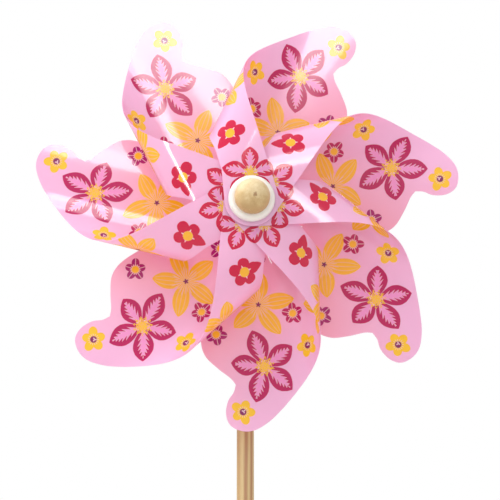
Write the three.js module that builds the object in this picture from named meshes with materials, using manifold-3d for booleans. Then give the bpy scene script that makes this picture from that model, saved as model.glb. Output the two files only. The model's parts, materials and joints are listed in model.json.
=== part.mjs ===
// A seven-blade whirligig on a wooden stake.
// Millimetres, +Z up, the front faces -Y. The origin is the middle of the stake's lower end.
import * as THREE from "three";
import { mergeVertices } from "three/addons/utils/BufferGeometryUtils.js";
import Module from "manifold-3d";

// Driving dimensions
const BLADES = 7;
const HUB_HEIGHT = 600; // the axle above the stake's lower end
const STAKE_RADIUS = 6;
const STAKE_ABOVE_AXLE = 14;
const WHEEL_AHEAD = 24; // from the stake's axis to the middle of the rear eyes
const HUB_DEPTH = 50; // from the middle of the rear eyes to the middle of the front eyes
const FOIL = 0.3; // thickness of a blade
const EYE_PITCH = 0.8; // from one blade's eye to the next in a stack
const GAP = 0.3; // between pieces that touch
const PLAY = 0.5; // axial play of the wheel on the peg
const PEG_RADIUS = 3;
const SPIGOT_RADIUS = 4; // the sleeve's ends, which carry the eyes
const SLEEVE_RADIUS = 6;
const EYE_HOLE_RADIUS = 4.4;
const CAP_RADIUS = 15.9;
const HEAD_RADIUS = 12.1;
// Degrees from +X to blade_1's length, counter-clockwise seen from the front
const FIRST_BLADE_ANGLE = 168.6;
const BLADE_TWIST = [-1.5, 0.5, -1, 0, -1, 0, 2.5]; // degrees that each blade sits off an even spacing
const FRONT_ORDER = [3, 4, 5, 6, 7, 1, 2]; // blade numbers, from the front of the front stack to its back

// A blade's flat pattern: x runs along the blade, y across it, from the rear eye to the front eye.
const FRONT_EYE_Y = 120; // the rear eye is at the origin
const REAR_EYE_RADIUS = 17;
const FRONT_EYE_RADIUS = 18.6;
const FRONT_EYE_END = 245; // degrees round the front eye at which its edge meets the arch
const LEG_HALF_ANGLE = 24.8; // degrees; legs side by side leave a gap, as a seventh of a turn is 51.4
const LEG_END = 38; // distance from the axle at which the leg opens out into the wing
const TRAILING_EDGE = [[56, -26], [72, -32], [88, -34.3], [99, -31.5], [108, -23], [115, -14.5]];
const NOTCH = [119.5, -11]; // where the trailing edge turns into the tip
const TIP = [[125, -12.6], [131, -16.6], [140, -18.2], [148, -15.2], [152, -7], [151.3, 2], [145, 12.5]];
const SHOULDER = [136, 22]; // where the tip meets the straight edge to the front eye
const ARCH = [[10, 92.6], [17.5, 85.8], [25, 77.5], [34.5, 60], [38.5, 43], [37.5, 28]];

// How a blade is bent
const BEND_EVENNESS = 0.4; // share of the bend's curvature that is even; the rest swells towards its middle
const LEAN_START = 6; // behind the rear eye's middle the wing leans back from here
const LEAN_RATE = 0.006; // radians per millimetre
const FRONT_RISE = [60, 82]; // y over which a blade comes to its place in the front stack
const REAR_FALL = [20, 50]; // y over which it leaves its place in the rear stack
const LEG_FALL = [19, 38]; // x over which it leaves it along the leg

const CURVE_STEP = 7; // spacing of points on a curved edge
const BEND_STEP = 7; // spacing of the lines on which a foil is bent
const BEND_START = 11; // from an eye to the first of them
const LEAN_LINES = [-28, -20, -12]; // y of the lines on which the wing leans back
const LEG_LINES = [20, 29, 38]; // x of the lines on which the leg steps down
const LATHE_STEPS = 32;

const wasm = await Module();
wasm.setup();

const smoothstep = THREE.MathUtils.smoothstep;
const toRadians = THREE.MathUtils.degToRad;
const points = (pairs) => pairs.map(([x, y]) => new THREE.Vector2(x, y));
const polar = (radius, degrees, centre = new THREE.Vector2()) =>
  new THREE.Vector2(radius, 0).rotateAround(new THREE.Vector2(), toRadians(degrees)).add(centre);

// The section of a bent foil. It leaves the rear eye flat, turns through half a turn and comes back flat
// over the front eye. The turn's length follows from the hub's depth.
function makeSection() {
  const step = 0.25;
  const samples = 2000;
  const swell = (t) => (1 - Math.cos(Math.PI * t)) / 2;
  const turnAt = (t) => Math.PI * THREE.MathUtils.lerp(swell(t), t, BEND_EVENNESS);
  let risePerLength = 0;
  for (let i = 0; i < samples; i++) risePerLength += Math.sin(turnAt((i + 0.5) / samples)) / samples;
  const turnLength = HUB_DEPTH / risePerLength;
  const flatLength = (FRONT_EYE_Y - turnLength) / 2;
  const angleAt = (y) => turnAt(THREE.MathUtils.clamp((y - flatLength) / turnLength, 0, 1));
  const across = [0];
  const rise = [0];
  for (let y = 0; y < FRONT_EYE_Y; y += step) {
    const angle = angleAt(y + step / 2);
    across.push(across.at(-1) + step * Math.cos(angle));
    rise.push(rise.at(-1) + step * Math.sin(angle));
  }
  const last = across.length - 1;
  return (y) => {
    if (y < 0) {
      const back = Math.max(0, -y - LEAN_START);
      return { across: y, rise: (-LEAN_RATE / 2) * back * back, angle: LEAN_RATE * back };
    }
    if (y > FRONT_EYE_Y) return { across: FRONT_EYE_Y - y, rise: HUB_DEPTH, angle: Math.PI };
    const i = Math.min(Math.floor(y / step), last - 1);
    const part = y / step - i;
    return {
      across: THREE.MathUtils.lerp(across[i], across[i + 1], part),
      rise: THREE.MathUtils.lerp(rise[i], rise[i + 1], part),
      angle: angleAt(y),
    };
  };
}
const section = makeSection();

// How far a blade stands off the middle of its two stacks: all the way at the eyes, not at all at the bend
// nor out in the wing.
function stackOffset(x, y, level) {
  const front = smoothstep(y, ...FRONT_RISE);
  const rear = (1 - smoothstep(x, ...LEG_FALL)) * (1 - smoothstep(y, ...REAR_FALL));
  return level * EYE_PITCH * (front - rear);
}

// A point of the flat pattern, moved half a thickness to one side and bent. x stays along the blade, y is
// across it and z is towards the front.
function bend(x, y, level, side) {
  const { across, rise, angle } = section(y);
  const half = (side * FOIL) / 2;
  return [x, across - half * Math.sin(angle), rise + half * Math.cos(angle) + stackOffset(x, y, level)];
}

function alongCurve(pairs) {
  const curve = new THREE.SplineCurve(points(pairs));
  return curve.getSpacedPoints(Math.round(curve.getLength() / CURVE_STEP));
}

function alongArc(centre, radius, fromDegrees, toDegrees) {
  const steps = Math.ceil((radius * toRadians(toDegrees - fromDegrees)) / CURVE_STEP);
  return Array.from({ length: steps + 1 }, (_, i) =>
    polar(radius, THREE.MathUtils.lerp(fromDegrees, toDegrees, i / steps), centre),
  );
}

function bladeOutline() {
  const eye = new THREE.Vector2(0, FRONT_EYE_Y);
  const reach = new THREE.Vector2(...SHOULDER).sub(eye);
  const tangent = Math.atan2(reach.y, reach.x) + Math.acos(FRONT_EYE_RADIUS / reach.length());
  const edgeAngle = THREE.MathUtils.radToDeg(tangent);
  const outline = [
    ...alongArc(new THREE.Vector2(), REAR_EYE_RADIUS, LEG_HALF_ANGLE, 360 - LEG_HALF_ANGLE),
    ...alongCurve([polar(LEG_END, -LEG_HALF_ANGLE).toArray(), ...TRAILING_EDGE, NOTCH]),
    ...alongCurve([NOTCH, ...TIP, SHOULDER]),
    ...alongArc(eye, FRONT_EYE_RADIUS, edgeAngle, FRONT_EYE_END),
    ...alongCurve([...ARCH, polar(LEG_END, LEG_HALF_ANGLE).toArray()]),
  ];
  return outline.filter((p, i) => p.distanceTo(outline[(i + 1) % outline.length]) > 0.01);
}

function hole(centre, radius) {
  const sides = 24;
  return Array.from({ length: sides }, (_, i) => polar(radius, (-360 * i) / sides, centre));
}

// The point where the edge between two corners meets the line where one coordinate (axis 0 for x, 1 for y) has
// that value. The corners are put in order first, so that both faces of a shared edge get the same point.
function crossing(p, q, axis, value) {
  const [a, b] = p[1 - axis] < q[1 - axis] ? [p, q] : [q, p];
  const part = (value - a[axis]) / (b[axis] - a[axis]);
  const point = [0, 0];
  point[axis] = value;
  point[1 - axis] = THREE.MathUtils.lerp(a[1 - axis], b[1 - axis], part);
  return point;
}

// Splits a polygon with no corner on the line into the polygons on either side of it.
function splitPolygon(polygon, value) {
  const chains = [];
  let chain = null;
  const walk = [...polygon, ...polygon];
  for (let i = 0; i + 1 < walk.length; i++) {
    if (chain) chain.push(walk[i]);
    if (walk[i][1] < value === walk[i + 1][1] < value) continue;
    const point = crossing(walk[i], walk[i + 1], 1, value);
    if (chain) chains.push([...chain, point]);
    if (chain && i >= polygon.length && point[0] === chains[0][0][0]) break;
    chain = [point];
  }
  if (!chains.length) return [polygon];
  const order = chains.map((c) => c[0][0]).sort((a, b) => a - b);
  const partner = (x) => order[order.indexOf(x) ^ 1];
  const rest = new Map(chains.map((c) => [`${c[0][0]},${c[1][1] > value}`, c]));
  const parts = [];
  while (rest.size) {
    let [key, next] = rest.entries().next().value;
    const above = next[1][1] > value;
    const part = [];
    while (rest.delete(key)) {
      part.push(...next);
      key = `${partner(next.at(-1)[0])},${above}`;
      next = rest.get(key);
    }
    parts.push(part);
  }
  return parts;
}

// Cuts the triangles that cross a line of constant x.
function cutTriangles(triangles, value) {
  return triangles.flatMap((triangle) => {
    const sides = [[], []];
    triangle.forEach((p, i) => {
      const q = triangle[(i + 1) % 3];
      if (p[0] <= value) sides[0].push(p);
      if (p[0] >= value) sides[1].push(p);
      if ((p[0] - value) * (q[0] - value) < 0) sides.forEach((side) => side.push(crossing(p, q, 0, value)));
    });
    return sides.flatMap((side) => side.slice(2).map((p, i) => [side[0], side[i + 1], p]));
  });
}

// The flat pattern as triangles whose corners lie on the bend lines, with shared corners listed once.
function flatPattern() {
  const holes = [0, FRONT_EYE_Y].map((y) => hole(new THREE.Vector2(0, y), EYE_HOLE_RADIUS));
  let polygons = [bladeOutline().map((p) => p.toArray())];
  const lines = [...LEAN_LINES];
  for (let y = BEND_START; y <= FRONT_EYE_Y - BEND_START; y += BEND_STEP) lines.push(y);
  for (const y of lines) polygons = polygons.flatMap((polygon) => splitPolygon(polygon, y));
  let triangles = polygons.flatMap((polygon) => {
    const heights = polygon.map((p) => p[1]);
    const inside = holes.filter((h) => Math.min(...heights) < h[0].y && h[0].y < Math.max(...heights));
    const corners = [...points(polygon), ...inside.flat()];
    const faces = THREE.ShapeUtils.triangulateShape(points(polygon), inside);
    return faces.map((face) => face.map((i) => corners[i].toArray()));
  });
  for (const x of LEG_LINES) triangles = cutTriangles(triangles, x);
  const corners = [];
  const indexOf = new Map();
  const faces = triangles.map((triangle) =>
    triangle.map(([x, y]) => {
      const key = `${x.toFixed(3)},${y.toFixed(3)}`;
      if (!indexOf.has(key)) indexOf.set(key, corners.push([x, y]) - 1);
      return indexOf.get(key);
    }),
  );
  return { corners, faces: faces.filter(([a, b, c]) => a !== b && b !== c && c !== a) };
}
const pattern = flatPattern();

// A closed foil: the pattern's two sides, and a wall along each edge that only one face has.
function foilGeometry(level) {
  const { corners, faces } = pattern;
  const count = corners.length;
  const position = [1, -1].flatMap((side) => corners.flatMap(([x, y]) => bend(x, y, level, side)));
  const edges = new Set(faces.flatMap(([a, b, c]) => [`${a},${b}`, `${b},${c}`, `${c},${a}`]));
  const index = faces.flatMap(([a, b, c]) => [a, b, c, c + count, b + count, a + count]);
  for (const edge of edges) {
    const [a, b] = edge.split(",").map(Number);
    if (!edges.has(`${b},${a}`)) index.push(a, a + count, b + count, a, b + count, b);
  }
  const geometry = new THREE.BufferGeometry();
  geometry.setAttribute("position", new THREE.Float32BufferAttribute(position, 3));
  geometry.setIndex(index);
  geometry.computeVertexNormals();
  return geometry;
}

// A turned piece along +Z. Each profile point is [radius, height].
function turned(profile) {
  return new THREE.LatheGeometry(points(profile), LATHE_STEPS).rotateX(Math.PI / 2);
}

// A turned piece with a bore: the profile closes on itself.
const turnedRing = (profile) => turned([...profile, profile[0]]);

// Points of a rounded corner in a profile, a quarter turn from one angle to the next.
function rounded(radius, height, cornerRadius, fromDegrees, toDegrees, steps = 5) {
  const centre = new THREE.Vector2(radius, height);
  return Array.from({ length: steps + 1 }, (_, i) =>
    polar(cornerRadius, THREE.MathUtils.lerp(fromDegrees, toDegrees, i / steps), centre).toArray(),
  );
}

function toSolid(geometry) {
  const bare = geometry.clone();
  bare.deleteAttribute("normal");
  bare.deleteAttribute("uv");
  const merged = mergeVertices(bare, 1e-4);
  return new wasm.Manifold(
    new wasm.Mesh({
      numProp: 3,
      vertProperties: merged.attributes.position.array,
      triVerts: new Uint32Array(merged.index.array),
    }),
  );
}

function toGeometry(solid) {
  const mesh = solid.getMesh();
  const geometry = new THREE.BufferGeometry();
  geometry.setAttribute("position", new THREE.BufferAttribute(mesh.vertProperties, 3));
  geometry.setIndex(new THREE.BufferAttribute(mesh.triVerts, 1));
  geometry.computeVertexNormals();
  return geometry;
}

// Heights along the axle, measured forwards from the middle of the rear eyes
const STACK_HALF = ((BLADES - 1) / 2) * EYE_PITCH + FOIL / 2;
const FRONT_SEAT = HUB_DEPTH + STACK_HALF + GAP;
const REAR_SEAT = -STACK_HALF - GAP;
const CAP_DEPTH = 6.5;
const REAR_CAP_DEPTH = 4.5;
const CAP_WALL = 1.5;
const SMALL_EDGE = 0.6; // radius or chamfer of a small edge
const STAKE_FRONT = STAKE_RADIUS - WHEEL_AHEAD;
const HEAD_SEAT = FRONT_SEAT + CAP_DEPTH + PLAY;

function stakeGeometry() {
  const top = HUB_HEIGHT + STAKE_ABOVE_AXLE;
  const chamfer = 0.8;
  const rod = turned([
    [0, 0],
    [STAKE_RADIUS - chamfer, 0],
    [STAKE_RADIUS, chamfer],
    [STAKE_RADIUS, top - chamfer],
    [STAKE_RADIUS - chamfer, top],
    [0, top],
  ]);
  const boreRadius = PEG_RADIUS + GAP;
  const bore = new THREE.CylinderGeometry(boreRadius, boreRadius, 4 * STAKE_RADIUS, LATHE_STEPS);
  bore.translate(0, 0, HUB_HEIGHT);
  return toGeometry(toSolid(rod).subtract(toSolid(bore)));
}

// The peg: a shank with a chamfered end, and a head that is a short band under a dome.
function pegGeometry() {
  const end = STAKE_FRONT - 2 * STAKE_RADIUS - 0.8; // its end stands just proud of the stake's back
  const edge = 1.2;
  const band = HEAD_SEAT + 2.6;
  const dome = 11.6;
  return turned([
    [0, end],
    [PEG_RADIUS - SMALL_EDGE, end],
    [PEG_RADIUS, end + SMALL_EDGE],
    [PEG_RADIUS, HEAD_SEAT],
    ...rounded(HEAD_RADIUS - edge, HEAD_SEAT + edge, edge, -90, 0),
    ...rounded(0, 0, 1, 0, 90, 10).map(([x, z]) => [HEAD_RADIUS * x, band + dome * z]),
  ]);
}

function sleeveGeometry() {
  const frontShoulder = HUB_DEPTH - STACK_HALF - GAP;
  const rearShoulder = -REAR_SEAT;
  const frontEnd = FRONT_SEAT + CAP_DEPTH - CAP_WALL - GAP;
  const rearEnd = REAR_SEAT - REAR_CAP_DEPTH + CAP_WALL + GAP;
  return turnedRing([
    [PEG_RADIUS + GAP, rearEnd],
    [SPIGOT_RADIUS, rearEnd],
    [SPIGOT_RADIUS, rearShoulder],
    [SLEEVE_RADIUS, rearShoulder],
    [SLEEVE_RADIUS, frontShoulder],
    [SPIGOT_RADIUS, frontShoulder],
    [SPIGOT_RADIUS, frontEnd],
    [PEG_RADIUS + GAP, frontEnd],
  ]);
}

// A cap with its flat face at height 0 and its rounded face at the given depth. The sleeve's end sits in
// its bore, and only the peg passes the end wall.
function capGeometry(depth, edgeRadius) {
  return turnedRing([
    [SPIGOT_RADIUS + GAP, 0],
    ...rounded(CAP_RADIUS - SMALL_EDGE, SMALL_EDGE, SMALL_EDGE, -90, 0, 3),
    ...rounded(CAP_RADIUS - edgeRadius, depth - edgeRadius, edgeRadius, 0, 90),
    [PEG_RADIUS + GAP, depth],
    [PEG_RADIUS + GAP, depth - CAP_WALL],
    [SPIGOT_RADIUS + GAP, depth - CAP_WALL],
  ]);
}

function standOffGeometry() {
  const radius = 5.5;
  const front = REAR_SEAT - REAR_CAP_DEPTH - PLAY;
  const rear = STAKE_FRONT + GAP;
  return turnedRing([
    [PEG_RADIUS + GAP, rear],
    [radius, rear],
    [radius, front],
    [PEG_RADIUS + GAP, front],
  ]);
}

const wood = new THREE.MeshStandardMaterial({ color: 0xdcc08c, roughness: 0.6, metalness: 0 });
const white = new THREE.MeshStandardMaterial({ color: 0xf4f2f0, roughness: 0.35, metalness: 0 });
const foil = new THREE.MeshStandardMaterial({ color: 0xf7bfd8, roughness: 0.2, metalness: 0 });

function piece(name, geometry, material) {
  const mesh = new THREE.Mesh(geometry, material.clone());
  mesh.name = name;
  return mesh;
}

const whirligig = new THREE.Group();
whirligig.add(piece("stake", stakeGeometry(), wood));

// In this group +Z is forwards along the axle and +Y is up.
const axle = new THREE.Group();
axle.position.set(0, -WHEEL_AHEAD, HUB_HEIGHT);
axle.rotation.x = Math.PI / 2;
whirligig.add(axle);

axle.add(piece("axle_peg", pegGeometry(), wood));
axle.add(piece("stand_off", standOffGeometry(), white));
axle.add(piece("hub_sleeve", sleeveGeometry(), white));

const frontCap = piece("front_cap", capGeometry(CAP_DEPTH, 3), white);
frontCap.position.z = FRONT_SEAT;
axle.add(frontCap);

const rearCap = piece("rear_cap", capGeometry(REAR_CAP_DEPTH, 2), white);
rearCap.position.z = REAR_SEAT;
rearCap.rotation.x = Math.PI;
axle.add(rearCap);

for (let number = 1; number <= BLADES; number++) {
  const level = (BLADES - 1) / 2 - FRONT_ORDER.indexOf(number);
  const blade = piece(`blade_${number}`, foilGeometry(level), foil);
  const angle = FIRST_BLADE_ANGLE - (360 / BLADES) * (number - 1) + BLADE_TWIST[number - 1];
  blade.rotation.z = toRadians(angle);
  axle.add(blade);
}

export default whirligig;
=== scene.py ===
"""A seven-blade whirligig: printed foil blades, a plastic hub and a wooden stake, in a white studio."""

import json
import math

import bpy
import numpy as np
from mathutils import Matrix, Vector, geometry


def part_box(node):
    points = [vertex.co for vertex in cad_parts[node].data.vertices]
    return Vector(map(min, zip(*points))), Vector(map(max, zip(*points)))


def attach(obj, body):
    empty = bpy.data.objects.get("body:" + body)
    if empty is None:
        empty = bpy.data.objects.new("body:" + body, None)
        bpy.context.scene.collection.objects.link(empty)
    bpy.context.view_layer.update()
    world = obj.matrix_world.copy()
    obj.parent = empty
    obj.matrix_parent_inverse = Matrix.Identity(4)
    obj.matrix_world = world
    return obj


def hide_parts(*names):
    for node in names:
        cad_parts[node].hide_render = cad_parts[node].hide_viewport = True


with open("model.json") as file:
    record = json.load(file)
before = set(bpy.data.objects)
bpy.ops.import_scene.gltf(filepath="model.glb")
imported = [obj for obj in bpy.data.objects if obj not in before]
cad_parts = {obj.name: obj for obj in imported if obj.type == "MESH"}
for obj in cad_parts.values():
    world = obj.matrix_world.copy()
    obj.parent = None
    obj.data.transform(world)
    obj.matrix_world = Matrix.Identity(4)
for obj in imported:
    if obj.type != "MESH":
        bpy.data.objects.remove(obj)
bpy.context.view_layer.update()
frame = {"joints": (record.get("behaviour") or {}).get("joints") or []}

MM = 0.001
JOINT = frame["joints"][0]
HUB = Vector(JOINT["pos_m"])  # on the wheel's axis, in the middle of the rear eyes

# The wheel, in millimetres
BLADES = 7
HUB_DEPTH = 50  # from the middle of the rear eyes to the middle of the front eyes
FOIL = 0.3  # thickness of a blade
EYE_PITCH = 0.8  # from one blade's eye to the next in a stack
FIRST_BLADE_ANGLE = 168.6  # degrees from +X to blade_1's length, counter-clockwise from the front
BLADE_TWIST = [-1.5, 0.5, -1, 0, -1, 0, 2.5]  # degrees that each blade sits off an even spacing
FRONT_ORDER = [3, 4, 5, 6, 7, 1, 2]  # blade numbers, from the front of the front stack to its back

# A blade's flat pattern, in millimetres: x runs along the blade, y across it to the front eye.
FRONT_EYE_Y = 120  # the rear eye is at the origin
EYE_HOLE_RADIUS = 4.4
REAR_EYE_RADIUS = 17
FRONT_EYE_RADIUS = 18.6
FRONT_EYE_END = 245  # degrees, where the front eye's edge meets the arch
LEG_HALF_ANGLE = 24.8
LEG_END = 38
TRAILING_EDGE = [(56, -26), (72, -32), (88, -34.3), (99, -31.5), (108, -23), (115, -14.5)]
NOTCH = (119.5, -11)  # where the trailing edge turns into the tip
TIP = [(125, -12.6), (131, -16.6), (140, -18.2), (148, -15.2), (152, -7), (151.3, 2), (145, 12.5)]
SHOULDER = (136, 22)  # where the tip meets the straight edge to the front eye
ARCH = [(10, 92.6), (17.5, 85.8), (25, 77.5), (34.5, 60), (38.5, 43), (37.5, 28)]
BEND_EVENNESS = 0.4
LEAN_START = 6  # behind the rear eye the wing leans back from here
LEAN_RATE = 0.006  # radians of lean per millimetre
FRONT_RISE = (60, 82)  # y over which the stack offset comes in towards the front eye
REAR_FALL = (20, 50)  # y over which the rear eye's stack offset dies out
LEG_FALL = (19, 38)  # x over which it dies out along the leg

EDGE_STEP = 1.6  # between corners along the pattern's edge
GRID_STEP = 3.2  # between corners inside it
GRID_MARGIN = 0.45  # of a grid step, kept clear along the edges
HOLE_STEP = 1.33  # between corners round an eye's hole
RIM_ANGLE = 50  # degrees, over which a foil's edge is shaded sharp
SLIVER_AREA = 0.05  # twice the area, in square millimetres, below which a triangle is a sliver
UV_SPAN = 200  # millimetres of flat pattern that fill the UV square
UV_ORIGIN = (0.15, 0.2)  # where the rear eye lies in it

# The hub, in metres
PEG_RADIUS = 0.003
SPIGOT_RADIUS = 0.004
GAP = 0.0003
PLAY = 0.0005
CAP_WALL = 0.0015
PITH_RIGHT = 0.0014  # from the axle to the middle of the peg's growth rings
PITH_UP = -0.0012

STAGE_SIZE = 12.0
FLOOR_COLOUR = (0.86, 0.82, 0.8, 1)
SURROUND_LIGHT = 0.95
CAMERA_AZIMUTH = -3.2
CAMERA_ELEVATION = -11.5
CAMERA_DISTANCE = 2.0
CAMERA_LENS = 205.7
AIM_RIGHT = 0.0019
AIM_UP = -0.02415


# --------------------------------------------------------------------------------------------- blades


def polar(radius, degrees, centre=(0, 0)):
    angle = math.radians(degrees)
    return (centre[0] + radius * math.cos(angle), centre[1] + radius * math.sin(angle))


def smoothstep(x, low, high):
    t = np.clip((np.asarray(x, float) - low) / (high - low), 0, 1)
    return t * t * (3 - 2 * t)


def bend_table(step=0.25):
    """Across, rise and angle of the bent foil at each step of flat y, from rear eye to front eye."""

    def turn_at(t):
        return math.pi * ((1 - BEND_EVENNESS) * (1 - np.cos(math.pi * t)) / 2 + BEND_EVENNESS * t)

    samples = (np.arange(2000) + 0.5) / 2000
    turn_length = HUB_DEPTH / np.sin(turn_at(samples)).mean()
    flat_length = (FRONT_EYE_Y - turn_length) / 2
    y = np.arange(0, FRONT_EYE_Y + step / 2, step)
    middle = turn_at(np.clip((y[:-1] + step / 2 - flat_length) / turn_length, 0, 1))
    across = np.concatenate([[0], np.cumsum(step * np.cos(middle))])
    rise = np.concatenate([[0], np.cumsum(step * np.sin(middle))])
    return y, across, rise, turn_at(np.clip((y - flat_length) / turn_length, 0, 1))


TABLE = bend_table()


def bend(flat, level, side):
    """Points of the flat pattern, moved half a thickness to one side and bent: along, across, forward."""
    x, y = flat[:, 0], flat[:, 1]
    at, across, rise, angle = TABLE
    across = np.interp(y, at, across)
    rise = np.interp(y, at, rise)
    angle = np.interp(y, at, angle)
    across = across + np.minimum(y, 0) - np.maximum(y - FRONT_EYE_Y, 0)
    back = np.maximum(-y - LEAN_START, 0)
    rise = rise - LEAN_RATE / 2 * back * back
    angle = angle + LEAN_RATE * back
    offset = smoothstep(y, *FRONT_RISE) - (1 - smoothstep(x, *LEG_FALL)) * (1 - smoothstep(y, *REAR_FALL))
    half = side * FOIL / 2
    rise = rise + half * np.cos(angle) + level * EYE_PITCH * offset
    return np.stack([x, across - half * np.sin(angle), rise], axis=1)


def spaced(points, step):
    """Points at even spacing along a smooth Catmull-Rom curve through the given ones."""
    p = np.array([points[0], *points, points[-1]], float)
    p[0] = 2 * p[1] - p[2]
    p[-1] = 2 * p[-2] - p[-3]
    fine = []
    for i in range(1, len(p) - 2):
        t = np.linspace(0, 1, 24, endpoint=False)[:, None]
        v0, v1 = (p[i + 1] - p[i - 1]) / 2, (p[i + 2] - p[i]) / 2
        a = 2 * p[i] - 2 * p[i + 1] + v0 + v1
        b = -3 * p[i] + 3 * p[i + 1] - 2 * v0 - v1
        fine.append(a * t**3 + b * t**2 + v0 * t + p[i])
    fine = np.concatenate([*fine, p[-2:-1]])
    length = np.concatenate([[0], np.cumsum(np.linalg.norm(np.diff(fine, axis=0), axis=1))])
    at = np.linspace(0, length[-1], round(length[-1] / step) + 1)
    return np.stack([np.interp(at, length, fine[:, 0]), np.interp(at, length, fine[:, 1])], axis=1)


def arc(centre, radius, start, end, step):
    count = math.ceil(radius * math.radians(end - start) / step)
    return np.array([polar(radius, start + (end - start) * i / count, centre) for i in range(count + 1)])


def blade_outline():
    """The edge of the flat pattern, counter-clockwise."""
    eye = (0, FRONT_EYE_Y)
    reach = (SHOULDER[0], SHOULDER[1] - FRONT_EYE_Y)
    turn = math.acos(FRONT_EYE_RADIUS / math.hypot(*reach))
    edge_angle = math.degrees(math.atan2(reach[1], reach[0]) + turn)
    tangent = polar(FRONT_EYE_RADIUS, edge_angle, eye)
    runs = [
        arc((0, 0), REAR_EYE_RADIUS, LEG_HALF_ANGLE, 360 - LEG_HALF_ANGLE, EDGE_STEP),
        spaced([polar(REAR_EYE_RADIUS, -LEG_HALF_ANGLE), polar(LEG_END, -LEG_HALF_ANGLE)], EDGE_STEP),
        spaced([polar(LEG_END, -LEG_HALF_ANGLE), *TRAILING_EDGE, NOTCH], EDGE_STEP),
        spaced([NOTCH, *TIP, SHOULDER], EDGE_STEP),
        spaced([SHOULDER, tangent], EDGE_STEP),
        arc(eye, FRONT_EYE_RADIUS, edge_angle, FRONT_EYE_END, EDGE_STEP),
        spaced([polar(FRONT_EYE_RADIUS, FRONT_EYE_END, eye), ARCH[0]], EDGE_STEP),
        spaced([*ARCH, polar(LEG_END, LEG_HALF_ANGLE)], EDGE_STEP),
        spaced([polar(LEG_END, LEG_HALF_ANGLE), polar(REAR_EYE_RADIUS, LEG_HALF_ANGLE)], EDGE_STEP),
    ]
    points = np.concatenate(runs)
    gaps = np.linalg.norm(points - np.roll(points, -1, axis=0), axis=1)
    return points[gaps > EDGE_STEP / 10]


def inside(points, polygon):
    """True for each point that lies inside the polygon."""
    x, y = points[:, 0:1], points[:, 1:2]
    x0, y0 = polygon[:, 0], polygon[:, 1]
    x1, y1 = np.roll(x0, -1), np.roll(y0, -1)
    crosses = (y0 > y) != (y1 > y)
    with np.errstate(divide="ignore", invalid="ignore"):
        at = x0 + (y - y0) / (y1 - y0) * (x1 - x0)
    return (crosses & (x < at)).sum(axis=1) % 2 == 1


def clearance(points, loop):
    """Distance from each point to the nearest point of a finely spaced loop."""
    return np.array([np.linalg.norm(loop - p, axis=1).min() for p in points])


def flat_pattern():
    """The blade's flat pattern as evenly sized triangles: the corners and the faces."""
    outline = blade_outline()
    eyes = [arc((0, y), EYE_HOLE_RADIUS, 0, 350, HOLE_STEP) for y in (0, FRONT_EYE_Y)]
    loops = [outline, *eyes]
    low, high = outline.min(axis=0), outline.max(axis=0)
    row_step = GRID_STEP * math.sqrt(3) / 2
    rows = [
        (x + (GRID_STEP / 2 if i % 2 else 0), y)
        for i, y in enumerate(np.arange(low[1], high[1], row_step))
        for x in np.arange(low[0], high[0], GRID_STEP)
    ]
    grid = np.array(rows)
    keep = inside(grid, outline) & ~inside(grid, eyes[0]) & ~inside(grid, eyes[1])
    grid = grid[keep]
    grid = grid[clearance(grid, np.concatenate(loops)) > GRID_STEP * GRID_MARGIN]
    corners = [Vector(p) for p in np.concatenate([*loops, grid])]
    edges = []
    start = 0
    for loop in loops:
        n = len(loop)
        edges += [(start + i, start + (i + 1) % n) for i in range(n)]
        start += n
    made = geometry.delaunay_2d_cdt(corners, edges, [], 0, 1e-6)
    corners = np.array([tuple(p) for p in made[0]])
    faces = np.array([f for f in made[2]])
    a, b, c = (corners[faces[:, i]] for i in range(3))
    area = (b[:, 0] - a[:, 0]) * (c[:, 1] - a[:, 1]) - (b[:, 1] - a[:, 1]) * (c[:, 0] - a[:, 0])
    faces[area < 0] = faces[area < 0][:, ::-1]
    middle = (a + b + c) / 3
    keep = inside(middle, outline) & ~inside(middle, eyes[0]) & ~inside(middle, eyes[1])
    return corners, faces[keep & (np.abs(area) > SLIVER_AREA)]


def foil_mesh(name, corners, faces, level, turn):
    """A closed thin shell: the pattern's two sides and a wall round each edge, in the row frame."""
    count = len(corners)
    both = np.concatenate([bend(corners, level, 1), bend(corners, level, -1)]) * MM
    c, s = math.cos(turn), math.sin(turn)
    x = both[:, 0] * c - both[:, 1] * s
    z = both[:, 0] * s + both[:, 1] * c
    world = np.stack([HUB.x + x, HUB.y - both[:, 2], HUB.z + z], axis=1)
    sides = [(int(i), int(j)) for f in faces for i, j in zip(f, np.roll(f, -1))]
    known = set(sides)
    rim = [(i, j) for i, j in sides if (j, i) not in known]
    polygons = [tuple(map(int, f)) for f in faces]
    polygons += [tuple(int(i) + count for i in f[::-1]) for f in faces]
    polygons += [(j, i, i + count, j + count) for i, j in rim]
    mesh = bpy.data.meshes.new(name)
    mesh.from_pydata(world.tolist(), [], polygons)
    uv = mesh.uv_layers.new(name="flat")
    flat = np.concatenate([corners, corners]) / UV_SPAN + UV_ORIGIN
    loop_vertex = np.empty(len(mesh.loops), np.int32)
    mesh.loops.foreach_get("vertex_index", loop_vertex)
    uv.data.foreach_set("uv", flat[loop_vertex].astype(np.float32).ravel())
    mesh.shade_smooth()
    mesh.set_sharp_from_angle(angle=math.radians(RIM_ANGLE))
    mesh.validate()
    return mesh


def add_piece(mesh, body, node, material):
    piece = bpy.data.objects.new(mesh.name, mesh)
    bpy.context.scene.collection.objects.link(piece)
    mesh.materials.append(material)
    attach(piece, body)
    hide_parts(node)
    return piece


def make_blades(material):
    corners, faces = flat_pattern()
    for number in range(1, BLADES + 1):
        level = (BLADES - 1) / 2 - FRONT_ORDER.index(number)
        angle = FIRST_BLADE_ANGLE - 360 / BLADES * (number - 1) + BLADE_TWIST[number - 1]
        mesh = foil_mesh(f"foil_{number}", corners, faces, level, math.radians(angle))
        add_piece(mesh, "wheel", f"blade_{number}", material)


# --------------------------------------------------------------------------------------------- materials


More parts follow.
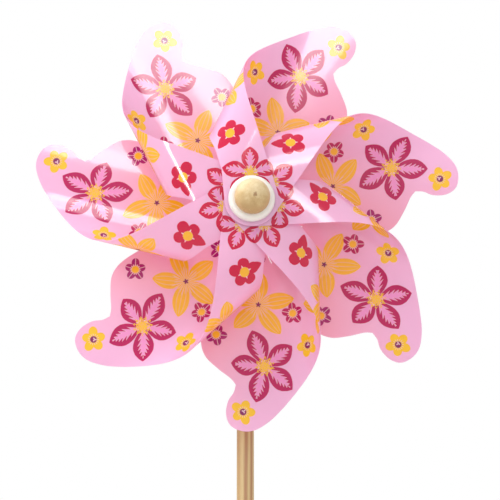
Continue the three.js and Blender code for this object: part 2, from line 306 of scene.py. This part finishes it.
class Field:
    """A number that varies over a surface: an output socket of a material's node tree, with arithmetic."""

    def __init__(self, tree, socket):
        self.tree = tree
        self.socket = socket

    def apply(self, operation, *others, clamp=False):
        node = self.tree.nodes.new("ShaderNodeMath")
        node.operation = operation
        node.use_clamp = clamp
        for slot, value in zip(node.inputs, (self, *others)):
            if isinstance(value, Field):
                self.tree.links.new(value.socket, slot)
            else:
                slot.default_value = value
        return Field(self.tree, node.outputs[0])

    def __add__(self, other):
        return self.apply("ADD", other)

    def __sub__(self, other):
        return self.apply("SUBTRACT", other)

    def __rsub__(self, other):
        return (self * -1).apply("ADD", other)

    def __mul__(self, other):
        return self.apply("MULTIPLY", other)

    def __truediv__(self, other):
        return self.apply("DIVIDE", other)

    def __pow__(self, other):
        return self.apply("POWER", other)

    __radd__ = __add__

    def above(self, limit=0.0, softness=0.25):
        """1 where the number is above the limit, 0 where it is below, with a soft edge of that width."""
        return ((self - limit) / softness).apply("ADD", 0.5, clamp=True)

    def below(self, limit, softness=0.25):
        return ((limit - self) / softness).apply("ADD", 0.5, clamp=True)

    def least(self, other):
        return self.apply("MINIMUM", other)

    def most(self, other):
        return self.apply("MAXIMUM", other)

    def size(self):
        return self.apply("ABSOLUTE")

    def cosine(self):
        return self.apply("COSINE")

    def sine(self):
        return self.apply("SINE")


class Paint:
    """A material's node tree with a colour that is built up in layers."""

    def __init__(self, name):
        self.material = bpy.data.materials.new(name)
        self.material.use_nodes = True
        self.tree = self.material.node_tree
        self.shader = self.tree.nodes["Principled BSDF"]
        self.colour = None

    def node(self, kind, **settings):
        made = self.tree.nodes.new(kind)
        for key, value in settings.items():
            setattr(made, key, value)
        return made

    def link(self, value, slot):
        self.tree.links.new(value.socket if isinstance(value, Field) else value, slot)

    def layer(self, mask, colour):
        """Lays an sRGB colour over what is there, where the mask says."""
        mix = self.node("ShaderNodeMix", data_type="RGBA", clamp_factor=True)
        under, over = mix.inputs[6], mix.inputs[7]
        if self.colour is None:
            under.default_value = (1, 1, 1, 1)
        else:
            self.link(self.colour, under)
        over.default_value = linear(colour)
        self.link(mask, mix.inputs[0])
        self.colour = mix.outputs[2]

    def noise(self, coordinates, scale=1.0, detail=2.0):
        made = self.node("ShaderNodeTexNoise")
        made.inputs["Scale"].default_value = scale
        made.inputs["Detail"].default_value = detail
        self.link(coordinates, made.inputs["Vector"])
        return Field(self.tree, made.outputs["Fac"])

    def stretched(self, coordinates, scale):
        """The coordinates times a scale for each axis."""
        made = self.node("ShaderNodeVectorMath", operation="MULTIPLY")
        self.link(coordinates, made.inputs[0])
        made.inputs[1].default_value = scale
        return made.outputs[0]

    def parts(self, vector):
        made = self.node("ShaderNodeSeparateXYZ")
        self.link(vector, made.inputs[0])
        return [Field(self.tree, made.outputs[i]) for i in range(3)]

    def own_place(self):
        """The place on the piece in metres, which moves with it."""
        return self.node("ShaderNodeTexCoord").outputs["Object"]

    def finish(self, roughness=None, bump=None, bump_depth=0.0001):
        self.link(self.colour, self.shader.inputs["Base Color"])
        if roughness is not None:
            self.link(roughness, self.shader.inputs["Roughness"])
        if bump is not None:
            made = self.node("ShaderNodeBump")
            made.inputs["Distance"].default_value = bump_depth
            self.link(bump, made.inputs["Height"])
            self.link(made.outputs["Normal"], self.shader.inputs["Normal"])
        return self.material


def linear(colour):
    """An sRGB colour of 0 to 255 as the linear colour that a shader takes."""
    share = [c / 255 for c in colour]
    return (*[c / 12.92 if c <= 0.04045 else ((c + 0.055) / 1.055) ** 2.4 for c in share], 1)


# Inks, as sRGB numbers of 0 to 255
MAGENTA = (208, 14, 110)
CRIMSON = (224, 8, 78)
PURPLE = (192, 38, 136)
PLUM = (156, 42, 116)
YELLOW = (255, 222, 56)
AMBER = (255, 214, 56)
PALE = (255, 226, 240)
LILAC = (250, 178, 232)

# The film
LILAC_FILM = (252, 212, 246)
# painted shade: the rose stands in for shade and for light seen through overlapping film
PAINTED_SHADE_ROSE_FILM = (255, 206, 233)
PAINTED_SHADE_START = 14  # painted shade: millimetres in from the long straight edge where the lilac starts to turn rose
PAINTED_SHADE_END = 62
TRANSLUCENCE = 0.4  # share of the light that passes through rather than bounces
THROUGH = (255, 234, 226)  # tint of the light that passes through
FILM_IOR = 1.52
COAT_WEIGHT = 0.6
COAT_ROUGHNESS = 0.05
LEAST_ROUGHNESS = 0.1
GRAIN_ROUGHNESS = 0.06  # what the film's grain adds to it
GRAIN_PER_MM = 0.55


class Bloom:
    """A ring of petals about a centre of the flat pattern. All lengths are in millimetres."""

    def __init__(self, paint, x, y, centre, turn, count=5):
        self.paint = paint
        dx, dy = x - centre[0], y - centre[1]
        self.radius = (dx * dx + dy * dy).apply("SQRT")
        self.angle = dy.apply("ARCTAN2", dx) - math.radians(turn)
        sector = math.tau / count
        self.petal = (self.angle / sector).apply("ROUND")
        own = self.angle - self.petal * sector
        self.along = self.radius * own.cosine()
        self.across = self.radius * own.sine()
        self.sector = sector

    def varied(self, seed, spread):
        """A number of about 1 that differs from petal to petal."""
        return (self.petal * (2 * self.sector) + seed).sine() * spread + 1

    def outline(self, length, width, fullness, bluntness, lean=0.0, seed=0.0):
        """How deep a point lies in its petal, how far out it is (0 to 1), its place across (-1 to 1) and
        the petal's half width there."""
        raw = self.along / (self.varied(seed, 0.07) * length)
        out = raw.most(0.001).least(0.999)
        peak = fullness / (fullness + bluntness)
        top = peak**fullness * (1 - peak) ** bluntness
        half = out**fullness * (1 - out) ** bluntness * (width / top)
        side = self.across
        if lean:
            side = side - out * out * (self.petal * (2 * self.sector) + seed + 1.0).sine() * lean
        beyond = (raw - out).size() * length * 2
        return half - side.size() - beyond, out, side / half.most(0.05), half

    def rays(self, count):
        return (self.angle * count).cosine()


def feathered_bloom(paint, x, y, grain, centre, turn, length, width, ink, stamen, seed):
    """Pointed petals with a thick outline, a feathery pale middle and a speckled yellow centre."""
    bloom = Bloom(paint, x, y, centre, turn)
    depth, out, side, half = bloom.outline(length, width, fullness=1.25, bluntness=0.92, lean=2.2, seed=seed)
    rough = (grain - 0.5) * 0.9
    root = length * 0.1
    paint.layer((depth + rough * 0.5).above() * bloom.along.above(root), ink)
    barb_height = 0.95
    barb = (bloom.along * 0.55 - side.size() * half * 0.75).apply("PINGPONG", barb_height)
    quill_share, barb_share, quill_end, taper = 0.15, 0.42, 0.62, 6
    feather = half * (barb * barb_share + quill_share) + rough - (out - quill_end).most(0) * taper
    middle = feather - side.size() * half
    pale_rim, lilac_rim = -0.32, 0.1
    paint.layer(middle.above(pale_rim), PALE)
    paint.layer(middle.above(lilac_rim), LILAC)
    stamen_rays, stamen_wave = 11, 1.1
    reach = length * 0.24 + bloom.rays(stamen_rays) * stamen_wave
    speckle = paint.node("ShaderNodeTexVoronoi", voronoi_dimensions="2D")
    speckle.inputs["Scale"].default_value = 0.95
    speckle.inputs["Randomness"].default_value = 0.9
    place = paint.node("ShaderNodeCombineXYZ")
    paint.link(x, place.inputs[0])
    paint.link(y, place.inputs[1])
    paint.link(place.outputs[0], speckle.inputs["Vector"])
    dot_radius = 0.46
    dots = Field(paint.tree, speckle.outputs["Distance"]).below(dot_radius, 0.2)
    paint.layer(bloom.radius.below(length * 0.13, 1.2) * 0.8, stamen)
    paint.layer(dots * (reach - bloom.radius).above(), YELLOW)


def long_bloom(paint, x, y, centre, turn, length, seed):
    """Long amber petals with fine pale lines and a small dark star in the middle."""
    bloom = Bloom(paint, x, y, centre, turn)
    depth, out, side, _ = bloom.outline(length, 6.1, fullness=0.9, bluntness=0.78, lean=2.4, seed=seed)
    paint.layer(depth.above(0.2), AMBER)
    line_rate, line_end, line_strength = 13.0, 0.93, 0.45
    lines = (side * line_rate).cosine().above(0.8, 0.25) * out.below(line_end, 0.05) * depth.above(0.5)
    paint.layer(lines * line_strength, PALE)
    burst_radius, burst_rays, burst_strength = 8.5, 26, 0.7
    burst_reach = burst_radius + bloom.rays(7) * 1.5 - bloom.radius
    burst = bloom.rays(burst_rays).above(0.45, 0.4) * burst_reach.above(softness=2)
    paint.layer(burst * burst_strength * depth.above(-0.3), PALE)
    star_radius, star_points = 1.5, 5
    paint.layer((star_radius + bloom.rays(star_points) * 0.5 - bloom.radius).above(), PLUM)


def small_yellow(paint, x, y, centre, turn, seed):
    """Five rounded yellow petals round a dark ring with a pale glint."""
    bloom = Bloom(paint, x, y, centre, turn)
    depth = bloom.outline(length=8.6, width=3.1, fullness=0.62, bluntness=0.5, seed=seed)[0]
    middle_radius, rim_width, ring_radius, ring_width = 4.0, 0.75, 3.0, 0.9
    paint.layer((depth.most(middle_radius - bloom.radius)).above(), YELLOW)
    paint.layer(depth.below(rim_width, 0.4) * depth.above() * bloom.radius.above(3.2) * 0.55, AMBER)
    ring = (bloom.radius - ring_radius).size().below(ring_width)
    paint.layer(bloom.rays(15).above(0.5, 0.4) * ring * 0.8, PALE)
    disc_radius = 2.35
    paint.layer(bloom.radius.below(disc_radius), PLUM)
    glint_radius, glint_offset = 0.9, 0.5
    glint_centre = (centre[0] - glint_offset, centre[1] + glint_offset)
    glint = Bloom(paint, x, y, glint_centre, turn)
    paint.layer((glint_radius + glint.rays(3) * 0.6 - glint.radius).above(), PALE)


def small_magenta(paint, x, y, centre, turn, ink, seed):
    """Five short petals, each with a pale midline, round a yellow middle."""
    bloom = Bloom(paint, x, y, centre, turn)
    depth = bloom.outline(length=7.6, width=2.75, fullness=0.6, bluntness=0.45, seed=seed)[0]
    root, midline_width, midline_start = 1, 0.22, 3.4
    paint.layer(depth.above() * bloom.radius.above(root), ink)
    midline = bloom.across.size().below(midline_width) * depth.above(0.6)
    paint.layer(midline * bloom.radius.above(midline_start), PALE)
    halo_radius, disc_radius = 3.3, 2.6
    paint.layer((halo_radius + bloom.rays(15) * 0.6 - bloom.radius).above(), PALE)
    paint.layer((disc_radius + bloom.rays(15) * 0.3 - bloom.radius).above(), AMBER)


def lobed_bloom(paint, x, y, centre, turn):
    """A solid red bloom of round lobes, one of them drawn out to a point, with a yellow disc."""
    bloom = Bloom(paint, x, y, centre, turn)
    depth = bloom.outline(length=10.4, width=4.1, fullness=0.62, bluntness=0.42, seed=0.6)[0]
    point = Bloom(paint, x, y, centre, turn, count=1)
    long_depth = point.outline(length=13.5, width=3.6, fullness=0.7, bluntness=0.75)[0]
    paint.layer(depth.most(long_depth).above(), CRIMSON)
    star_radius, star_length, disc_radius = 3.5, 1.6, 3.4
    paint.layer((star_radius + bloom.rays(4) ** 9 * star_length - bloom.radius).above(), PALE)
    paint.layer(bloom.radius.below(disc_radius), AMBER)




def printed_foil():
    """Glossy pink film with a flower print, and a painted shade that turns it from lilac to rose away from
    its long straight edge. The flowers lie at fixed places of the flat pattern.
    """
    paint = Paint("printed_foil")
    uv = paint.node("ShaderNodeUVMap", uv_map="flat").outputs[0]
    u, v, _ = paint.parts(uv)
    x = (u - UV_ORIGIN[0]) * UV_SPAN
    y = (v - UV_ORIGIN[1]) * UV_SPAN
    grain = paint.noise(paint.stretched(uv, (UV_SPAN,) * 3), GRAIN_PER_MM, detail=3)
    reach = (SHOULDER[0], SHOULDER[1] - FRONT_EYE_Y)
    length = math.hypot(*reach)
    inwards = (SHOULDER[0] - x) * (-reach[1] / length) + (SHOULDER[1] - y) * (reach[0] / length)
    paint.layer(grain * 0 + 1, LILAC_FILM)
    # painted shade: lilac near the long straight edge, rose further in
    paint.layer(inwards.above((PAINTED_SHADE_START + PAINTED_SHADE_END) / 2, PAINTED_SHADE_END - PAINTED_SHADE_START), PAINTED_SHADE_ROSE_FILM)
    long_bloom(paint, x, y, (63.6, 6.1), 30, 25, 0.4)
    long_bloom(paint, x, y, (68, 60), 50, 22, 2.0)
    small_magenta(paint, x, y, (84, -23.8), 10, PURPLE, 0.3)
    small_magenta(paint, x, y, (70.5, 30), 40, MAGENTA, 1.3)
    small_magenta(paint, x, y, (30, 5), 0, PURPLE, 2.3)
    small_yellow(paint, x, y, (138.7, -6.4), 15, 0.8)
    small_yellow(paint, x, y, (94, 41), 60, 1.8)
    lobed_bloom(paint, x, y, (36.5, 86), 193)
    feathered_bloom(paint, x, y, grain, (107.1, 9.4), -20, 25, 7.3, MAGENTA, AMBER, 0.5)
    feathered_bloom(paint, x, y, grain, (16.4, 111.4), 44.7, 19.5, 5.9, CRIMSON, AMBER, 1.7)
    paint.shader.inputs["IOR"].default_value = FILM_IOR
    paint.shader.inputs["Coat Weight"].default_value = COAT_WEIGHT
    paint.shader.inputs["Coat Roughness"].default_value = COAT_ROUGHNESS
    material = paint.finish(roughness=grain * GRAIN_ROUGHNESS + LEAST_ROUGHNESS)
    warmed = paint.node("ShaderNodeMix", data_type="RGBA", blend_type="MULTIPLY")
    warmed.inputs[0].default_value = 1
    paint.link(paint.colour, warmed.inputs[6])
    warmed.inputs[7].default_value = linear(THROUGH)
    through = paint.node("ShaderNodeBsdfTranslucent")
    paint.link(warmed.outputs[2], through.inputs["Color"])
    both = paint.node("ShaderNodeMixShader")
    both.inputs[0].default_value = TRANSLUCENCE
    paint.link(paint.shader.outputs[0], both.inputs[1])
    paint.link(through.outputs[0], both.inputs[2])
    paint.link(both.outputs[0], paint.tree.nodes["Material Output"].inputs["Surface"])
    return material


def grain_colours(paint, rings, fibres, pale, mid, dark):
    """Wood colour: growth rings that fade into each other, with fine fibres over them."""
    paint.layer(rings * 0 + 1, mid)
    paint.layer(rings.above(0.58, 0.3), pale)
    paint.layer(rings.below(0.4, 0.22) * 0.7, dark)
    paint.layer(fibres.above(0.62, 0.1) * 0.35, dark)
    paint.layer(fibres.below(0.36, 0.1) * 0.4, pale)


STAKE_COLOURS = ((206, 180, 130), (184, 148, 102), (166, 116, 84))  # pale, middle and dark grain
STAKE_RING_WIDTH = 0.0042
STAKE_GRAIN_DEPTH = 0.00012
PEG_COLOURS = ((226, 206, 164), (204, 176, 124), (178, 142, 90))
PEG_RING_WIDTH = 0.0052
PEG_GRAIN_DEPTH = 0.00010
PEG_PAINTED_TOP_LIGHT = 22  # painted light: how fast the wood turns paler with height, per metre
PITH_COLOUR = (138, 92, 50)
PLASTIC_COLOUR = (238, 233, 226)
PLASTIC_SHADE = (224, 220, 214)
PLASTIC_TEXTURE_DEPTH = 0.00004


def stake_wood():
    """Light straight-grained wood, with the grain up the stake."""
    paint = Paint("stake_wood")
    place = paint.own_place()
    x, y, _ = paint.parts(place)
    drift = paint.noise(paint.stretched(place, (30, 30, 3)))
    across = x * 0.9 + y * 0.45 + drift * 0.004
    rings = (across * (math.tau / STAKE_RING_WIDTH)).sine() * 0.25 + 0.5
    rings = rings + (paint.noise(paint.stretched(place, (260, 260, 6))) - 0.5) * 0.5
    fibres = paint.noise(paint.stretched(place, (2200, 2200, 30)), detail=3)
    grain_colours(paint, rings, fibres, *STAKE_COLOURS)
    return paint.finish(roughness=fibres * 0.2 + 0.45, bump=fibres, bump_depth=STAKE_GRAIN_DEPTH)


def peg_wood():
    """Turned light wood with the grain along the axle, so its nose shows the end grain, and a painted light
    that makes it paler upwards.
    """
    paint = Paint("peg_wood")
    place = paint.own_place()
    x, _, z = paint.parts(place)
    dx = x - (HUB.x + PITH_RIGHT)
    dz = z - (HUB.z + PITH_UP)
    drift = paint.noise(paint.stretched(place, (160, 30, 160)))
    radius = (dx * dx + dz * dz).apply("SQRT") + (drift - 0.5) * 0.0022
    # painted light: the wood is paler higher up, as if lit from above
    rings = (radius * (math.tau / PEG_RING_WIDTH)).sine() * 0.03 + 0.52 + (z - HUB.z) * PEG_PAINTED_TOP_LIGHT
    rings = rings + (paint.noise(paint.stretched(place, (190, 50, 190))) - 0.5) * 0.55
    fibres = paint.noise(paint.stretched(place, (2600, 160, 2600)), detail=3)
    grain_colours(paint, rings, fibres, *PEG_COLOURS)
    pith_size, pith_softness = 0.0034, 0.0009
    pith = paint.noise(paint.stretched(place, (700, 700, 700))) * pith_size - 0.0002
    paint.layer((pith - radius).above(0, pith_softness) * 0.7, PITH_COLOUR)
    return paint.finish(roughness=fibres * 0.2 + 0.4, bump=fibres, bump_depth=PEG_GRAIN_DEPTH)


def hub_plastic():
    """Moulded white plastic with a faint satin texture."""
    paint = Paint("hub_plastic")
    place = paint.own_place()
    mottle = paint.noise(place, 220, detail=3)
    pebble = paint.noise(place, 2600, detail=2)
    paint.layer(mottle * 0 + 1, PLASTIC_COLOUR)
    paint.layer(mottle.above(0.5, 0.5) * 0.4, PLASTIC_SHADE)
    paint.shader.inputs["Subsurface Weight"].default_value = 0.1
    paint.shader.inputs["Subsurface Scale"].default_value = 0.002
    return paint.finish(roughness=mottle * 0.1 + 0.26, bump=pebble, bump_depth=PLASTIC_TEXTURE_DEPTH)


# --------------------------------------------------------------------------------------------- turned pieces


def along_axle(node):
    """A CAD node's rear and front ends, measured forwards from the rear eyes' middle, and its radius."""
    low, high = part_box(node)
    return HUB.y - high.y, HUB.y - low.y, (high.x - low.x) / 2


EDGE_ANGLE = 38  # degrees, over which a turned edge is shaded sharp


def rounded(radius, height, corner, start, end, steps=8):
    """Points of a rounded corner in a profile, about its centre."""
    turns = [math.radians(start + (end - start) * i / steps) for i in range(steps + 1)]
    return [(radius + corner * math.cos(t), height + corner * math.sin(t)) for t in turns]


def turned_mesh(name, profile, place, closed=False, segments=96):
    """A mesh turned from (radius, height) points. place moves it from +Z into the row frame."""
    vertices, rows = [], []
    for radius, height in profile:
        if radius < 1e-7:
            rows.append([len(vertices)] * segments)
            vertices.append((0, 0, height))
            continue
        rows.append(list(range(len(vertices), len(vertices) + segments)))
        for i in range(segments):
            angle = math.tau * i / segments
            vertices.append((radius * math.cos(angle), radius * math.sin(angle), height))
    polygons = []
    pairs = list(zip(rows, rows[1:] + rows[:1])) if closed else list(zip(rows, rows[1:]))
    for lower, upper in pairs:
        for i in range(segments):
            j = (i + 1) % segments
            corners = [lower[i], lower[j], upper[j], upper[i]]
            polygons.append(list(dict.fromkeys(corners)))
    mesh = bpy.data.meshes.new(name)
    mesh.from_pydata(vertices, [], polygons)
    mesh.transform(place)
    mesh.validate()
    mesh.shade_smooth()
    mesh.set_sharp_from_angle(angle=math.radians(EDGE_ANGLE))
    return mesh


# Edges and roundings, in metres
STAKE_EDGE = 0.0009
SHANK_EDGE = 0.0006
HEAD_EDGE = 0.0014
HEAD_BAND = 0.0026  # length of the head's straight side, with its rounded edge
HEAD_POINTEDNESS = 0.92
SLEEVE_EDGE = 0.0004
STAND_OFF_EDGE = 0.0005
CAP_SEAT_EDGE = 0.0006
CAP_HOLE_EDGE = 0.0002
CAP_ROUNDING = 0.52  # of the cap's depth
BORE_SHARE = 0.6  # the stake's bore, as a share of the stand-off's radius

AXLE_FRAME = Matrix.Translation(HUB) @ Matrix.Rotation(math.pi / 2, 4, "X")


def make_stake(material):
    low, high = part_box("stake")
    radius = (high.x - low.x) / 2
    edge = STAKE_EDGE
    steps = 60
    levels = [edge + (high.z - 2 * edge) * i / steps for i in range(steps + 1)]
    profile = [(0, 0), *rounded(radius - edge, edge, edge, -90, 0)]
    profile += [(radius, z) for z in levels[1:-1]]
    profile += [*rounded(radius - edge, high.z - edge, edge, 0, 90), (0, high.z)]
    mesh = turned_mesh("wooden_stake", profile, Matrix.Identity(4))
    stake = add_piece(mesh, "stand", "stake", material)
    bore_radius = along_axle("stand_off")[2] * BORE_SHARE
    bore = [(0, -2 * radius), (bore_radius, -2 * radius), (bore_radius, 2 * radius), (0, 2 * radius)]
    place = Matrix.Translation((0, 0, HUB.z)) @ Matrix.Rotation(math.pi / 2, 4, "X")
    cutter = bpy.data.objects.new("bore", turned_mesh("bore", bore, place, segments=48))
    bpy.context.scene.collection.objects.link(cutter)
    cut = stake.modifiers.new("bore", "BOOLEAN")
    cut.operation = "DIFFERENCE"
    cut.solver = "EXACT"
    cut.object = cutter
    graph = bpy.context.evaluated_depsgraph_get()
    made = bpy.data.meshes.new_from_object(stake.evaluated_get(graph))
    stake.modifiers.clear()
    stake.data = made
    bpy.data.objects.remove(cutter)


def make_peg(material):
    rear, front, head_radius = along_axle("axle_peg")
    shank = PEG_RADIUS
    seat = along_axle("front_cap")[1] + PLAY
    band = seat + HEAD_BAND
    dome = front - band
    tip, rim = SHANK_EDGE, HEAD_EDGE
    profile = [(0, rear), *rounded(shank - tip, rear + tip, tip, -90, 0)]
    profile += [(shank, seat), *rounded(head_radius - rim, seat + rim, rim, -90, 0)]
    steps = 28
    turns = [math.pi / 2 * i / steps for i in range(1, steps)]
    profile += [(head_radius * math.cos(t) ** HEAD_POINTEDNESS, band + dome * math.sin(t)) for t in turns]
    profile.append((0, front))
    add_piece(turned_mesh("turned_peg", profile, AXLE_FRAME), "stand", "axle_peg", material)


def make_cap(name, node, material, forward):
    """A hub cap: a flat seat, a low rounded rim and a bore for the sleeve's end."""
    back, front, radius = along_axle(node)
    depth = front - back
    edge = depth * CAP_ROUNDING
    inner = SPIGOT_RADIUS + GAP
    hole = PEG_RADIUS + GAP
    wall = depth - CAP_WALL
    seat, chamfer = CAP_SEAT_EDGE, CAP_HOLE_EDGE
    profile = [(inner, 0), *rounded(radius - seat, seat, seat, -90, 0, 4)]
    profile += rounded(radius - edge, depth - edge, edge, 0, 90, 14)
    profile += [(hole + chamfer, depth), (hole, depth - chamfer), (hole, wall), (inner, wall)]
    if forward:
        place = AXLE_FRAME @ Matrix.Translation((0, 0, back))
    else:
        place = AXLE_FRAME @ Matrix.Translation((0, 0, front)) @ Matrix.Rotation(math.pi, 4, "X")
    mesh = turned_mesh(name, profile, place, closed=True)
    add_piece(mesh, "wheel", node, material)


def make_sleeve(material):
    rear, front, radius = along_axle("hub_sleeve")
    shoulders = (along_axle("rear_cap")[1], along_axle("front_cap")[0])
    stack = shoulders[1] - HUB_DEPTH * MM - GAP
    rear_shoulder = -shoulders[0]
    front_shoulder = HUB_DEPTH * MM - stack - GAP
    bore = PEG_RADIUS + GAP
    edge = SLEEVE_EDGE
    profile = [
        (bore, rear),
        (SPIGOT_RADIUS, rear),
        (SPIGOT_RADIUS, rear_shoulder),
        *rounded(radius - edge, rear_shoulder + edge, edge, -90, 0, 4),
        *rounded(radius - edge, front_shoulder - edge, edge, 0, 90, 4),
        (SPIGOT_RADIUS, front_shoulder),
        (SPIGOT_RADIUS, front),
        (bore, front),
    ]
    mesh = turned_mesh("plastic_sleeve", profile, AXLE_FRAME, closed=True)
    add_piece(mesh, "wheel", "hub_sleeve", material)


def make_stand_off(material):
    rear, front, radius = along_axle("stand_off")
    bore = PEG_RADIUS + GAP
    edge = STAND_OFF_EDGE
    profile = [(bore, rear), *rounded(radius - edge, rear + edge, edge, -90, 0, 4)]
    profile += [*rounded(radius - edge, front - edge, edge, 0, 90, 4), (bore, front)]
    mesh = turned_mesh("spacer_tube", profile, AXLE_FRAME, closed=True)
    add_piece(mesh, "stand", "stand_off", material)


# --------------------------------------------------------------------------------------------- stage


def make_camera():
    a, e = math.radians(CAMERA_AZIMUTH), math.radians(CAMERA_ELEVATION)
    back = Vector((math.sin(a) * math.cos(e), -math.cos(a) * math.cos(e), math.sin(e)))
    right = Vector((math.cos(a), math.sin(a), 0))
    up = back.cross(right)
    data = bpy.data.cameras.new("camera")
    data.lens = CAMERA_LENS
    camera = bpy.data.objects.new("camera", data)
    camera.rotation_mode = "QUATERNION"
    camera.rotation_quaternion = (-back).to_track_quat("-Z", "Y")
    camera.location = HUB + right * AIM_RIGHT + up * AIM_UP + back * CAMERA_DISTANCE
    bpy.context.scene.collection.objects.link(camera)
    bpy.context.scene.camera = camera


def make_world():
    """A white surround, a little brighter to the eye than the light it gives."""
    world = bpy.data.worlds.new("studio")
    world.use_nodes = True
    tree = world.node_tree
    shade = tree.nodes["Background"]
    shade.inputs["Color"].default_value = (1, 1, 1, 1)
    seen = tree.nodes.new("ShaderNodeLightPath")
    strength = tree.nodes.new("ShaderNodeMapRange")
    strength.inputs["To Min"].default_value = SURROUND_LIGHT
    strength.inputs["To Max"].default_value = 1.0
    tree.links.new(seen.outputs["Is Camera Ray"], strength.inputs["Value"])
    tree.links.new(strength.outputs["Result"], shade.inputs["Strength"])
    bpy.context.scene.world = world
    bpy.context.scene.view_settings.view_transform = "Standard"


def from_hub(azimuth, elevation, distance):
    """A place round the hub: azimuth 0 is straight ahead of the wheel and 90 to its right as seen."""
    a, e = math.radians(azimuth), math.radians(elevation)
    return HUB + Vector((math.sin(a) * math.cos(e), -math.cos(a) * math.cos(e), math.sin(e))) * distance


def make_lights():
    """A soft key light that leaves no reflection, and three panels that only show as sheen on the film."""
    softbox("key", from_hub(-70, 46, 1.2), (0.9, 0.9), 13, glossy=False)
    softbox("sheen_high", from_hub(9, 34, 1.8), (0.8, 0.5), 8.6, diffuse=False)
    softbox("sheen_low", from_hub(7, 22, 1.8), (0.7, 0.26), 6.4, diffuse=False)
    softbox("strip", from_hub(-48, -10, 1.6), (0.12, 0.34), 6, diffuse=False)


def make_floor():
    half = STAGE_SIZE / 2
    mesh = bpy.data.meshes.new("floor")
    corners = [(-half, -half, 0), (half, -half, 0), (half, half, 0), (-half, half, 0)]
    mesh.from_pydata(corners, [], [(0, 1, 2, 3)])
    floor = bpy.data.objects.new("floor", mesh)
    bpy.context.scene.collection.objects.link(floor)
    material = bpy.data.materials.new("floor")
    material.use_nodes = True
    material.node_tree.nodes["Principled BSDF"].inputs["Base Color"].default_value = FLOOR_COLOUR
    mesh.materials.append(material)


def softbox(name, position, size, power, diffuse=True, glossy=True):
    """A rectangular light of so many watts that faces the hub."""
    data = bpy.data.lights.new(name, "AREA")
    data.shape = "RECTANGLE"
    data.size, data.size_y = size
    data.energy = power
    light = bpy.data.objects.new(name, data)
    light.location = position
    light.rotation_mode = "QUATERNION"
    light.rotation_quaternion = (HUB - position).to_track_quat("-Z", "Y")
    light.visible_diffuse = diffuse
    light.visible_glossy = glossy
    bpy.context.scene.collection.objects.link(light)


make_camera()
make_world()
make_lights()
make_floor()
make_blades(printed_foil())
make_stake(stake_wood())
make_peg(peg_wood())
white = hub_plastic()
make_cap("front_hub_cap", "front_cap", white, forward=True)
make_cap("rear_hub_cap", "rear_cap", white, forward=False)
make_sleeve(white)
make_stand_off(white)
